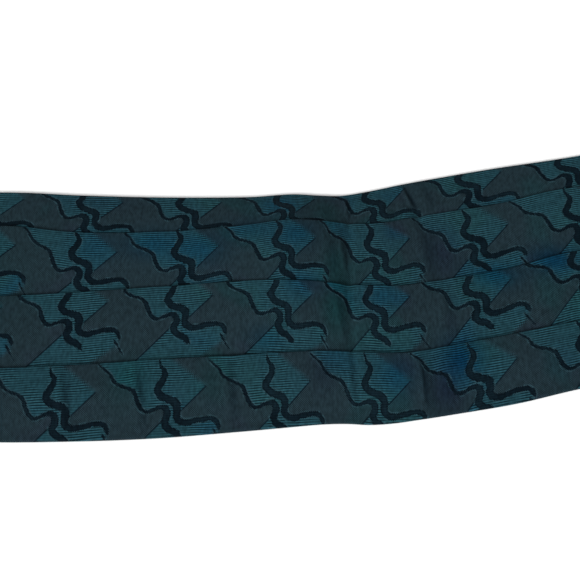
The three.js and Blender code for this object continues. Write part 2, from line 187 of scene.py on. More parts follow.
# Soft tint spots: place along and across the panel, reach, height, strength. Blue ones are partly painted
# sheen, partly colour changes of the cloth.
tints = {
    "blue": [
        (-137, 20, 11, 9, 0.5), (-111, 21, 12, 8, 0.7), (-87, 18, 13, 9, 0.7), (-64, 28, 12, 7, 0.5),
        (-42, 24, 9, 8, 0.7), (-50, 43, 10, 6, 0.6), (31, -37, 10, 11, 1.0), (50, 5, 12, 7, 0.9),
        (78, 13, 12, 8, 1.0), (2, -45, 9, 10, 0.7), (-3, -7, 8, 7, 0.6), (-40, -2, 9, 7, 0.6),
        (-56, -28, 8, 6, 0.5),
    ],
    "teal": [
        (-24, -13, 7, 16, 1.0), (-24, 10, 6, 10, 0.7), (-28, 38, 7, 10, 0.6),
        (-117, -47, 9, 12, 0.6), (-79, -48, 8, 12, 0.5), (96, -12, 16, 12, 0.4),
        (-200, 0, 30, 26, 0.5), (200, 10, 30, 26, 0.5),
    ],
    "purple": [
        (23, -51, 7, 10, 1.0), (26, 17, 9, 13, 0.7), (3, 27, 6, 8, 0.4), (-30, -44, 7, 9, 0.5),
        (-139, 46, 18, 6, 0.4), (80, -38, 14, 8, 0.4), (-260, -20, 30, 20, 0.4),
        (31, -37, 7, 8, 0.7), (80, 14, 8, 5, 0.5),
    ],
}

# Slow waves of the whole stack, and how they and the creases fade.
swell = {
    "count": 6,
    "spread": (0.6, 1.8),
    "kinds": [(0.28, 62.0, 3), (0.12, 21.0, 8)],  # lift, size and seed
    "creaseFade": 0.2,
    "topFade": (-0.02, 0.12),
    "bottomFade": (0.90, 1.02),
    "endFade": (60.0, 30.0),
}

# The front of each band lies a little slack, and gets painted shade on the far side of its wrinkles.
slackness = {
    "lift": 0.16,
    "size": 40.0,
    "foldClear": 1.0,
    "bandClear": 3.0,
    "wrinkleShadeShift": 1.3,
    "wrinkleShadeWidth": 0.9,
}


def noiseAlong(x, y, size, seed):
    # Smooth noise from a few seeded waves.
    random = np.random.default_rng(seed)
    total = np.zeros(np.broadcast(x, y).shape)
    for _ in range(swell["count"]):
        angle = random.uniform(0, 2 * math.pi)
        pace = 2 * math.pi / (size * random.uniform(*swell["spread"]))
        along = x * math.cos(angle) + y * math.sin(angle)
        total += np.sin(along * pace + random.uniform(0, 2 * math.pi))
    return total / swell["count"]


def ripple(x, down, height):
    # Lift of the waves and creases that all layers share.
    share = down / height
    fade = swell["creaseFade"]
    lift = sum(height * noiseAlong(x, down, size, seed) for height, size, seed in swell["kinds"])
    for crease in creases:
        away = (x - crease["at"] - crease["lean"] * down) / crease["width"]
        span = smoothStep(share, crease["from"], crease["from"] + fade)
        span = span * (1 - smoothStep(share, crease["to"] - fade, crease["to"]))
        lift = lift + crease["depth"] * np.exp(-away * away) * span
    # The edges lie on the table, so the waves fade there.
    return lift * smoothStep(share, *swell["topFade"]) * (1 - smoothStep(share, *swell["bottomFade"]))


def standing(section, down, level):
    # How far the cloth stands off the table. A dip never presses a layer into the one below.
    share = math.pi * np.clip(down / section["height"][:, None], 0, 1)
    lean = np.sin(share) + panel["archLean"] * np.sin(2 * share)
    arch = section["arch"][:, None] / panel["archPeak"]
    fadeStart, fadeEnd = (half - reach for reach in swell["endFade"])
    flatEnds = 1 - smoothStep(np.abs(section["x"][:, None]), fadeStart, fadeEnd)
    waves = ripple(section["x"][:, None], down, section["height"][:, None]) * flatEnds
    room = np.clip(level - panel["dipFloor"], 0, panel["deepestDip"])
    waves = np.maximum(waves, -arch * lean - room)
    return section["rise"][:, None] + arch * lean + waves


# Rows of the cloth are lists of (way down from the top edge, level), one value for each column.

def turnRows(centre, low, high, side, rising):
    # Half a turn of the cloth from one level to the other.
    radius = (high - low) / 2
    rows = []
    for step in range(panel["turnSteps"] + 1):
        angle = math.pi * step / panel["turnSteps"] - math.pi / 2
        rows.append((
            centre + side * radius * math.cos(angle),
            np.full_like(centre, (low + high) / 2 + rising * radius * math.sin(angle)),
        ))
    return rows


def runRows(start, end, count, startLevel, endLevel):
    # Rows after the start, up to and with the end. The level eases from one value to the other.
    rows = []
    for step in range(1, count + 1):
        share = step / count
        blend = share * share * (3 - 2 * share)
        level = startLevel + (endLevel - startLevel) * blend
        rows.append((start + (end - start) * share, np.full_like(start, level)))
    return rows


def foldRows(fold, tuck):
    # The tuck under the fold, the fold and the shelf on top of it.
    shelf = panel["shelfLevel"]
    centre = fold + panel["cloth"] / 2 + layerStep / 2
    tuckEnd = fold + tuck
    rows = [(tuckEnd, np.full_like(fold, shelf - layerStep))]
    rows += runRows(tuckEnd, centre, panel["tuckRows"], shelf - layerStep, shelf - layerStep)[:-1]
    apex = len(rows) + panel["turnSteps"] // 2
    rows += turnRows(centre, shelf - layerStep, shelf, -1, 1)
    rows += runRows(centre, tuckEnd + layerStep, panel["shelfRows"], shelf, shelf)
    return rows, apex


def bodyRows(s):
    # The back cloth, turned over the top edge, down to its tuck under the upper fold.
    backEnd = s["height"] - panel["hemReturn"] - panel["layerGap"] - panel["hemClear"]
    backLevel = panel["cloth"] / 2
    radius = (panel["edgeLevel"] - backLevel) / 2
    centre = np.full_like(s["x"], panel["cloth"] / 2 + radius - panel["edgeReach"])
    tuckEnd = s["upper"] + (s["centre"] - s["upper"]) * panel["tuckShare"]
    rows = [(backEnd, np.full_like(centre, backLevel))]
    rows += runRows(backEnd, centre, panel["backRows"], backLevel, backLevel)[:-1]
    apex = len(rows) + panel["turnSteps"] // 2
    rows += turnRows(centre, backLevel, panel["edgeLevel"], -1, 1)
    foot = s["upper"] - panel["topFoot"]
    rows += runRows(centre, foot, panel["topBandRows"], panel["edgeLevel"], footLevel)
    rows += runRows(foot, tuckEnd, panel["tuckRows"], footLevel, footLevel)
    return rows, apex


def pleatRows(fold, following, afterNext):
    # A pleat from its tuck over its fold and down under the next one.
    rows, apex = foldRows(fold, (following - fold) * panel["tuckShare"])
    foot = following - panel["bandFoot"]
    rows += runRows(rows[-1][0], foot, panel["bandRows"], panel["shelfLevel"], footLevel)
    tail = following + (afterNext - following) * panel["tuckShare"]
    rows += runRows(foot, tail, panel["tuckRows"], footLevel, footLevel)
    return rows, apex


def upperRows(s):
    return pleatRows(s["upper"], s["centre"], s["lower"])


def middleRows(s):
    return pleatRows(s["centre"], s["lower"], s["height"])


def hemRows(s):
    # The lowest pleat, turned under at the bottom edge.
    rows, apex = foldRows(s["lower"], (s["height"] - s["lower"]) * panel["tuckShare"])
    backLevel = panel["cloth"] / 2
    radius = (panel["hemLevel"] - backLevel) / 2
    centre = s["height"] - panel["cloth"] / 2 - radius + panel["edgeReach"]
    start = rows[-1][0]
    rows += runRows(start, centre, panel["hemBandRows"], panel["shelfLevel"], panel["hemLevel"])[:-1]
    rows += turnRows(centre, backLevel, panel["hemLevel"], 1, -1)
    rows += runRows(centre, centre - panel["hemReturn"], panel["tuckRows"], backLevel, backLevel)
    return rows, apex


# The woven motif, charted for one repeat.
# Each row: way along, way down, and width of the ribbon, from the lower ribbon's first bend.
motif = {
    "repeat": 48.0,
    "curveSteps": 8,
    "upperRibbon": [
        (-26.2, -13.0, 0.7), (-23.6, -10.6, 0.9), (-21.2, -8.3, 1.1), (-19.4, -5.0, 1.3),
        (-16.6, -2.8, 1.4), (-12.4, -1.0, 1.5), (-10.0, 1.0, 1.7), (-8.6, 4.6, 1.8),
        (-6.8, 8.2, 1.8), (-4.2, 9.7, 1.5), (-1.2, 8.8, 1.5), (1.6, 7.9, 2.2),
        (4.0, 8.8, 3.0), (4.7, 11.4, 3.3), (3.6, 14.6, 3.3), (5.0, 17.2, 3.1),
        (8.2, 18.9, 3.0), (10.2, 21.2, 2.6),
    ],
    "lowerRibbon": [
        (0.2, -13.6, 0.4), (1.0, -10.6, 1.3), (2.9, -7.0, 2.6), (1.7, -3.4, 3.1),
        (0.0, 0.0, 3.2), (1.4, 2.8, 3.2), (4.6, 4.5, 3.3), (8.0, 6.0, 3.5),
        (9.0, 8.8, 3.4), (8.6, 11.8, 3.2), (10.4, 14.3, 3.1), (13.6, 14.9, 2.8),
        (18.6, 13.9, 2.4), (23.2, 13.5, 2.2), (26.2, 14.8, 2.2), (27.4, 17.4, 1.7),
    ],
    "fineLine": [(25.4, 18.8, 0.9), (26.6, 21.0, 0.8), (29.3, 25.4, 0.6)],
    "upperTip": [(10.6, 9.8), (21.3, -0.5), (7.0, -12.8), (1.8, -18.0), (-27.0, -18.0)],
    "lowerPeak": [(1.9, 14.4), (-14.5, 31.0), (13.6, 31.0), (17.6, 27.2), (24.6, 22.6), (26.6, 21.0)],
    # where the first bend lies along the panel, and how far below each band's fold
    "places": [-147.5, -99.2, -52.1, -9.2, 37.1, 87.5],
    "placesBefore": 3,  # how many of them lie before the middle one
    "bendPlaces": (-150.0, -18.0, 90.0),
    "bendDown": {
        "top": (4.6, 3.6, 3.0),
        "upper": (11.2, 11.4, 13.0),
        "middle": (6.3, 7.2, 5.0),
        "lower": (13.9, 14.5, 11.6),
    },
    "shift": {"top": 0.2, "upper": 0.0, "middle": -1.7, "lower": -3.5},
    "faintLine": 0.1,  # strength of the dark line round the rest of the light patch
    "patchTop": 11.4,  # the patch follows the upper ribbon down to here
    "patchBottom": 9.8,  # and the lower ribbon from here
    "offPattern": 20.0,  # a distance that is out of reach of any line
    "plainWidth": 0.5,  # half width where there is no ribbon
    "plainBack": 0.5,  # the back is plain up to this far before the top edge
}


def smoothCurve(points):
    # A curve through the points, with the width as its last column.
    steps = motif["curveSteps"]
    points = np.array(points)
    padded = np.vstack([2 * points[0] - points[1], points, 2 * points[-1] - points[-2]])
    curve = []
    for index in range(len(points) - 1):
        a, b, c, d = padded[index:index + 4]
        for step in range(steps):
            t = step / steps
            curve.append(0.5 * (
                2 * b + (c - a) * t + (2 * a - 5 * b + 4 * c - d) * t * t
                + (3 * b - a - 3 * c + d) * t ** 3
            ))
    curve.append(points[-1])
    return np.array(curve)


upperCurve = smoothCurve(motif["upperRibbon"])
lowerCurve = smoothCurve(motif["lowerRibbon"])
fineCurve = smoothCurve(motif["fineLine"])


def patchOutline():
    # The light patch: above the upper ribbon, out to the tip, and under the lower ribbon.
    # A thin dark line runs down the lower peak's left slope and along the tip's lower edge.
    above = upperCurve[upperCurve[:, 1] < motif["patchTop"], :2]
    below = lowerCurve[lowerCurve[:, 1] > motif["patchBottom"], :2][::-1]
    outline = np.vstack([above, motif["lowerPeak"], below, motif["upperTip"]])
    lines = np.full(len(outline), motif["faintLine"])
    lines[len(above)] = 1.0
    lines[len(above) + len(motif["lowerPeak"]) + len(below)] = 1.0
    return outline, lines


farAway = 1e3
tiny = 1e-9


def segmentDistance(px, py, start, end):
    # Distance to a segment, way along it, and the side.
    dx, dy = end[0] - start[0], end[1] - start[1]
    along = np.clip(((px - start[0]) * dx + (py - start[1]) * dy) / (dx * dx + dy * dy), 0, 1)
    awayX = px - start[0] - dx * along
    awayY = py - start[1] - dy * along
    side = np.sign(dx * (py - start[1]) - dy * (px - start[0]))
    return np.hypot(awayX, awayY), along, side


def ribbonField(px, py, curves):
    # Signed way across the nearest ribbon, its half width, and the plain distance.
    nearest = np.full(px.shape, farAway)
    across = np.full(px.shape, farAway)
    width = np.full(px.shape, motif["plainWidth"])
    for curve in curves:
        for start, end in zip(curve[:-1], curve[1:]):
            distance, along, side = segmentDistance(px, py, start, end)
            closer = distance < nearest
            nearest = np.where(closer, distance, nearest)
            across = np.where(closer, np.where(side < 0, -distance, distance), across)
            width = np.where(closer, (start[2] + (end[2] - start[2]) * along) / 2, width)
    return across, width, nearest


def outlineField(px, py, outline, lines):
    # Distance to a closed outline, negative inside, and the dark line's strength there.
    nearest = np.full(px.shape, farAway)
    line = np.zeros(px.shape)
    inside = np.zeros(px.shape, bool)
    for start, end, strength in zip(outline, np.roll(outline, -1, axis=0), lines):
        distance, _, _ = segmentDistance(px, py, start, end)
        line = np.where(distance < nearest, strength, line)
        nearest = np.minimum(nearest, distance)
        crosses = (start[1] > py) != (end[1] > py)
        rise = end[1] - start[1] if end[1] != start[1] else tiny
        meets = start[0] + (py - start[1]) / rise * (end[0] - start[0])
        inside ^= crosses & (px < meets)
    return np.where(inside, -nearest, nearest), line


def alongCloth(x):
    # Way along the woven cloth, which the creases in the middle take up a little.
    places = np.array(motif["places"])
    marks = (np.arange(len(places)) - motif["placesBefore"]) * motif["repeat"]
    inner = np.interp(x, places, marks)
    left = marks[0] + (x - places[0])
    right = marks[-1] + (x - places[-1])
    return np.where(x < places[0], left, np.where(x > places[-1], right, inner))


def motifFields(x, along, below, band):
    # The motif's fields at points of a band, from the nearest of three repeats.
    bend = np.interp(x, motif["bendPlaces"], motif["bendDown"][band])
    way = along - motif["shift"][band]
    repeat = motif["repeat"]
    way = (way + repeat / 2) % repeat - repeat / 2
    down = below - bend
    outline, lines = patchOutline()
    upper = lower = patch = line = None
    for turn in (-1, 0, 1):
        px = way + turn * repeat
        upperNow = ribbonField(px, down, [upperCurve, fineCurve])
        lowerNow = ribbonField(px, down, [lowerCurve])
        patchNow, lineNow = outlineField(px, down, outline, lines)
        if patch is None:
            upper, lower, patch, line = upperNow, lowerNow, patchNow, lineNow
            continue
        nearer = upperNow[2] < upper[2]
        upper = [np.where(nearer, a, b) for a, b in zip(upperNow, upper)]
        nearer = lowerNow[2] < lower[2]
        lower = [np.where(nearer, a, b) for a, b in zip(lowerNow, lower)]
        nearer = np.abs(patchNow) < np.abs(patch)
        line = np.where(nearer, lineNow, line)
        both = np.where(nearer, patchNow, patch)
        patch = np.where((patchNow < 0) | (patch < 0), np.minimum(patchNow, patch), both)
    return upper, lower, patch, line


def columnPlaces():
    # Places of the columns along the panel, closer together where the creases are sharpest.
    count = round(panel["length"] / panel["columnStep"]) + 1
    places = [np.linspace(-half, half, count)]
    for start, end in panel["fineSpans"]:
        places.append(np.arange(start, end, panel["fineStep"]))
    return np.unique(np.round(np.concatenate(places), 3))


def tintAt(x, y, spots):
    # How strong a tint is at points of the panel, from soft round spots.
    total = np.zeros(x.shape)
    for spotX, spotY, reach, tall, strength in spots:
        away = ((x - spotX) / reach) ** 2 + ((y - spotY) / tall) ** 2
        total += strength * np.exp(-away)
    return np.clip(total, 0, 1)


def addMesh(name, points, faces):
    mesh = bpy.data.meshes.new(name)
    mesh.from_pydata((np.asarray(points) * mm).tolist(), [], np.asarray(faces).tolist())
    mesh.validate()
    mesh.shade_smooth()
    piece = bpy.data.objects.new(name, mesh)
    bpy.context.scene.collection.objects.link(piece)
    return piece


def setField(piece, name, parts):
    # Three values at each point, for the materials.
    attribute = piece.data.attributes.new(name, "FLOAT_VECTOR", "POINT")
    attribute.data.foreach_set("vector", np.stack(parts, axis=-1).astype(np.float32).ravel())


def dress(piece, material, node=None):
    # Give a piece its material and body, and hide the CAD solid that it stands for.
    piece.data.materials.append(material)
    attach(piece, "root")
    if node:
        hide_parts(node)


def ringFaces(columns, ring, closeEnds=True):
    # Faces of a tube with a number of points round each column, and caps of facing pairs.
    column = np.arange(columns - 1)[:, None] * ring
    index = np.arange(ring)[None, :]
    following = (index + 1) % ring
    faces = np.stack([
        column + index, column + following, column + following + ring, column + index + ring,
    ], axis=-1).reshape(-1, 4)
    if not closeEnds:
        return faces
    pair = np.arange(ring // 2 - 1)
    cap = np.stack([pair, ring - 1 - pair, ring - 2 - pair, pair + 1], axis=-1)
    return np.vstack([faces, cap, cap[:, ::-1] + (columns - 1) * ring])


def slackened(s, x, below, band, seed):
    # How far a band's front stands slack, and how strong the painted shade is on the far side of its
    # wrinkles.
    marks = (0.0, s["upper"], s["centre"], s["lower"], s["height"])
    order = list(wrinkles).index(band)
    room = marks[order + 1] - marks[order] - slackness["bandClear"]
    shown = np.clip((below - slackness["foldClear"]) / room[:, None], 0, 1)
    slack = slackness["lift"] * (1 + noiseAlong(x[:, None], below, slackness["size"], seed))
    wrinkleShade = np.zeros_like(below)
    for at, lift, width, lean in wrinkles[band]:
        away = (x[:, None] - at - lean * below) / width
        slack = slack + lift * np.exp(-away * away)
        # painted shade: a strip beside each wrinkle, on its side away from the key light
        beside = (away - slackness["wrinkleShadeShift"]) / slackness["wrinkleShadeWidth"]
        wrinkleShade = wrinkleShade + lift * np.exp(-beside ** 2)
    visible = np.sin(math.pi * shown)
    return slack * visible, np.clip(wrinkleShade * visible, 0, 1)


def clothSides(s, down, level):
    # The cloth's two faces, half its thickness off its middle, as one ring for each column.
    slopeDown = np.gradient(down, axis=1)
    slopeLevel = np.gradient(level, axis=1)
    size = np.maximum(np.hypot(slopeDown, slopeLevel), tiny)
    offDown, offLevel = -slopeLevel / size, slopeDown / size
    halfCloth = panel["cloth"] / 2
    sides = []
    for sign in (1, -1):
        sideDown = down + sign * offDown * halfCloth
        sideLevel = level + sign * offLevel * halfCloth
        sides.append((sideDown, sideLevel + standing(s, sideDown, level)))
    (firstDown, firstLevel), (secondDown, secondLevel) = sides
    ringDown = np.concatenate([firstDown, secondDown[:, ::-1]], axis=1)
    ringLevel = np.concatenate([firstLevel, secondLevel[:, ::-1]], axis=1)
    return ringDown, ringLevel


def clothPiece(name, band, rowsOf):
    # One cloth piece of the panel, closed, with its fields for the woven pattern.
    x = columnPlaces()
    count = len(x)
    s = sectionsAt(x)
    rows, apex = rowsOf(s)
    down = np.stack([row[0] for row in rows], axis=1)
    level = np.stack([row[1] for row in rows], axis=1)
    steps = np.hypot(np.diff(down, axis=1), np.diff(level, axis=1))
    way = np.concatenate([np.zeros((count, 1)), np.cumsum(steps, axis=1)], axis=1)
    below = way - way[:, apex:apex + 1]
    slack, wrinkleShade = slackened(s, x, below, band, len(name))
    ringDown, ringLevel = clothSides(s, down, level + slack)
    ring = ringDown.shape[1]
    points = np.stack([
        np.repeat(x[:, None], ring, axis=1) + panelPlace[0],
        s["top"][:, None] - ringDown + panelPlace[1],
        np.maximum(ringLevel, panel["lowestPoint"]),
    ], axis=-1).reshape(-1, 3)
    piece = addMesh(name, points, ringFaces(count, ring))
    along = alongCloth(x)[:, None] * np.ones((1, len(rows)))
    where = x[:, None] * np.ones((1, len(rows)))
    upper, lower, patch, line = motifFields(where, along, below, band)
    # the back of the panel is plain
    plain = below < -motif["plainBack"] if band == "top" else np.zeros(below.shape, bool)
    off = motif["offPattern"]

    def both(values, empty=0.0):
        values = np.where(plain, empty, values)
        return np.concatenate([values, values[:, ::-1]], axis=1)

    for field, (across, width, distance) in (("upperRibbon", upper), ("lowerRibbon", lower)):
        width = both(width, motif["plainWidth"])
        setField(piece, field, [both(across, off), width, both(distance, off)])
    # the patch field's third value is the painted shade beside the wrinkles
    setField(piece, "patchEdgeAndShade", [both(patch, off), both(line), both(wrinkleShade)])
    setField(piece, "tint", [
        both(tintAt(where, s["top"][:, None] - down, spots)) for spots in tints.values()
    ])
    flatPlace = (along, below, np.full(below.shape, float(len(name))))
    setField(piece, "clothPlace", [
        np.concatenate([values, values[:, ::-1]], axis=1) for values in flatPlace
    ])
    print(name, "points", len(points), "cloth width mm", round(way[:, -1].max(), 1))
    return piece


# Small helpers for node trees.

def addNode(tree, kind, values=None, **settings):
    node = tree.nodes.new(kind)
    for key, value in settings.items():
        setattr(node, key, value)
    for key, value in (values or {}).items():
        if isinstance(value, bpy.types.NodeSocket):
            tree.links.new(value, node.inputs[key])
        else:
            node.inputs[key].default_value = value
    return node


def calc(tree, operation, first, second=0.0, third=None):
    values = {0: first, 1: second}
    if third is not None:
        values[2] = third
    return addNode(tree, "ShaderNodeMath", values, operation=operation).outputs[0]


def blendColour(tree, factor, first, second, mode="MIX"):
    values = {0: factor, 6: first, 7: second}
    return addNode(tree, "ShaderNodeMix", values, data_type="RGBA", blend_type=mode).outputs[2]


def rangeOf(tree, value, fromLow, fromHigh, toLow=0.0, toHigh=1.0, kind="SMOOTHSTEP"):
    node = addNode(tree, "ShaderNodeMapRange", {
        "Value": value, "From Min": fromLow, "From Max": fromHigh, "To Min": toLow, "To Max": toHigh,
    }, interpolation_type=kind)
    return node.outputs[0]


def noiseOf(tree, place, scale, detail):
    values = {"Vector": place, "Scale": scale, "Detail": detail}
    return addNode(tree, "ShaderNodeTexNoise", values).outputs[0]


def fieldOf(tree, name):
    return addNode(tree, "ShaderNodeAttribute", attribute_name=name).outputs["Vector"]


def partsOf(tree, vector):
    return addNode(tree, "ShaderNodeSeparateXYZ", {0: vector}).outputs


def waveOf(tree, place, pitch):
    # A sine with one turn in each pitch.
    return calc(tree, "SINE", calc(tree, "DIVIDE", calc(tree, "MULTIPLY", place, 2 * math.pi), pitch))


def screenColour(red, green, blue):
    # A colour as it shows on the screen, from 0 to 255, turned into light.
    light = []
    for value in (red, green, blue):
        share = value / 255
        light.append(share / 12.92 if share <= 0.04045 else ((share + 0.055) / 1.055) ** 2.4)
    return (*light, 1.0)


def newGroup(name, inputs, outputs):
    group = bpy.data.node_groups.new(name, "ShaderNodeTree")
    for label, kind, value in inputs:
        socket = group.interface.new_socket(name=label, in_out="INPUT", socket_type=kind)
        if value is not None:
            socket.default_value = value
    for label, kind in outputs:
        group.interface.new_socket(name=label, in_out="OUTPUT", socket_type=kind)
    entry = group.nodes.new("NodeGroupInput")
    leave = group.nodes.new("NodeGroupOutput")
    return group, entry.outputs, leave.inputs


def useGroup(tree, group, values):
    return addNode(tree, "ShaderNodeGroup", values, node_tree=group).outputs


floatKind, colourKind, vectorKind = "NodeSocketFloat", "NodeSocketColor", "NodeSocketVector"

# Uneven yarn, in every cloth.
yarns = {
    "swayScale": 0.07,
    "sway": 1.6,  # how far the ribs wander, in millimetres
    "stretch": (1.0, 0.45, 1.0),
    "unevenScale": 0.8,
}

# Fades of a woven ribbon, in millimetres from its edge.
ribbonFades = {
    "softness": 0.12,
    "rimWidth": 0.4,
    "end": (0.75, 0.40),
    "rim": (1.0, 0.2),  # in rim widths
    "core": (-0.15, -0.75),
}

driftBands = {"First Tint": (0.46, 0.30), "Second Tint": (0.54, 0.70)}


def makeThreadGroup():
    # Ribs across the cloth, twill lines, and slow uneven yarn. The place is in millimetres.
    group, inside, out = newGroup("Threads", [
        ("Place", vectorKind, None), ("Rib Pitch", floatKind, 1.1), ("Twill Pitch", floatKind, 0.95),
    ], [("Ribs", floatKind), ("Twill", floatKind), ("Cross", floatKind), ("Yarn", floatKind)])
    place, pitch = inside["Place"], inside["Twill Pitch"]
    parts = partsOf(group, place)
    sway = noiseOf(group, place, yarns["swayScale"], 1.0)
    bent = calc(group, "MULTIPLY_ADD", sway, yarns["sway"], parts[1])
    slant = calc(group, "ADD", parts[0], parts[1])
    waves = {
        "Ribs": waveOf(group, bent, inside["Rib Pitch"]),
        "Twill": waveOf(group, slant, pitch),
        "Cross": calc(group, "MULTIPLY", waveOf(group, parts[0], pitch), waveOf(group, parts[1], pitch)),
    }
    for label, wave in waves.items():
        group.links.new(calc(group, "MULTIPLY_ADD", wave, 0.5, 0.5), out[label])
    stretch = addNode(group, "ShaderNodeVectorMath", {0: place, 1: yarns["stretch"]}, operation="MULTIPLY")
    group.links.new(noiseOf(group, stretch.outputs[0], yarns["unevenScale"], 3.0), out["Yarn"])
    return group


def makeRibbonGroup():
    # A woven ribbon from its field: way across, half width, plain distance.
    group, inside, out = newGroup("Ribbon", [
        ("Field", vectorKind, None), ("Weave Steps", floatKind, 0.0),
        ("Softness", floatKind, ribbonFades["softness"]), ("Rim Width", floatKind, ribbonFades["rimWidth"]),
    ], [("Mask", floatKind), ("Rim", floatKind), ("Core", floatKind)])
    parts = partsOf(group, inside["Field"])
    way = calc(group, "ABSOLUTE", parts[0])
    over = calc(group, "ADD", calc(group, "SUBTRACT", way, parts[1]), inside["Weave Steps"])
    soft = inside["Softness"]
    near = rangeOf(group, calc(group, "SUBTRACT", parts[2], parts[1]), *ribbonFades["end"])
    rimAway = calc(group, "ABSOLUTE", calc(group, "SUBTRACT", over, inside["Rim Width"]))
    found = {
        "Mask": rangeOf(group, over, soft, calc(group, "MULTIPLY", soft, -1.0)),
        "Rim": rangeOf(group, calc(group, "DIVIDE", rimAway, inside["Rim Width"]), *ribbonFades["rim"]),
        "Core": rangeOf(group, over, *ribbonFades["core"]),
    }
    for label, share in found.items():
        group.links.new(calc(group, "MULTIPLY", share, near), out[label])
    return group


def makeDriftGroup():
    # Slow colour drift over the cloth, between two tints.
    group, inside, out = newGroup("Colour Drift", [
        ("Colour", colourKind, None), ("First Tint", colourKind, None), ("Second Tint", colourKind, None),
        ("Place", vectorKind, None), ("Size", floatKind, 40.0), ("Amount", floatKind, 0.4),
    ], [("Colour", colourKind)])
    noise = noiseOf(group, inside["Place"], calc(group, "DIVIDE", 1.0, inside["Size"]), 1.5)
    colour = inside["Colour"]
    for label, fade in driftBands.items():
        share = calc(group, "MULTIPLY", rangeOf(group, noise, *fade), inside["Amount"])
        colour = blendColour(group, share, colour, inside[label])
    group.links.new(colour, out["Colour"])
    return group


threadGroup = makeThreadGroup()
ribbonGroup = makeRibbonGroup()
driftGroup = makeDriftGroup()
print("node groups: made")


def newMaterial(name, **constants):
    material = bpy.data.materials.new(name)
    material.use_nodes = True
    tree = material.node_tree
    shader = tree.nodes["Principled BSDF"]
    for key, value in constants.items():
        shader.inputs[key.replace("_", " ")].default_value = value
    return material, tree, shader


def threadsOf(tree, place, look):
    values = {"Place": place, "Rib Pitch": look["ribPitch"], "Twill Pitch": look["twillPitch"]}
    return useGroup(tree, threadGroup, values)


def driftColour(tree, place, colours, drift):
    size, amount = drift
    values = {"Place": place, "Size": size, "Amount": amount}
    values.update(zip(("Colour", "First Tint", "Second Tint"), colours))
    return useGroup(tree, driftGroup, values)["Colour"]


def addBump(tree, shader, height, bump):
    strength, distance = bump
    node = addNode(tree, "ShaderNodeBump", {"Height": height, "Strength": strength, "Distance": distance})
    tree.links.new(node.outputs[0], shader.inputs["Normal"])


# Colours with their two drift tints, drifts as size and amount, ranges as from low, from high,
# to low and to high, and bumps as strength and depth in metres.
jacquard = {
    "ground": [screenColour(26, 40, 46), screenColour(29, 37, 48), screenColour(19, 47, 51)],
    "patch": [screenColour(25, 53, 61), screenColour(14, 48, 66), screenColour(25, 55, 58)],
    "groundDrift": (26.0, 0.5),
    "patchDrift": (30.0, 0.5),
    "ribbon": screenColour(3, 10, 17),
    "ribbonBrown": screenColour(13, 28, 35),
    "rim": screenColour(40, 64, 72),
    "fineLine": screenColour(6, 17, 25),
    "tintShades": [(0.22, 0.80, 1.14, 1.0), (0.48, 1.06, 0.94, 1.0), (0.58, 0.54, 0.74, 1.0)],
    # painted shade on the far side of each wrinkle, and how strongly it is laid on
    "wrinkleShade": screenColour(8, 20, 28),
    "wrinkleShadeShare": 0.6,
    "edgeSteps": 0.7,
    "raggedScale": 0.5,
    "raggedEdge": (0.3, 0.7, -0.3, 0.3, "LINEAR"),
    "ribPitch": 1.12,
    "twillPitch": 0.95,
    "unevenScale": 0.11,
    "ribStrength": (0.40, 0.60, 0.55, 1.75),
    "crossStrength": (0.62, 0.42, 0.3, 1.5),
    "twillShade": (0.40, 0.80),
    "lattice": 3.4,  # reach of the lattice at the edge of the patch
    "patchFade": (0.15, -0.15),
    "lineFade": (0.50, 0.15),
    "lineStrength": 0.9,
    "rimScale": 0.35,
    "rimBreaks": (0.42, 0.62, 0.0, 0.85),
    "brownScale": 0.045,
    "brownPlaces": (0.40, 0.58, 0.45, 1.0),
    "yarnShade": (0.30, 0.70, 0.72, 1.28, "LINEAR"),
    "rough": 0.72,
    "patchRough": -0.08,
    "ribbonRough": -0.10,
    "twillBump": 0.5,
    "ribbonBump": -0.5,
    "bump": (0.6, 0.00006),
}


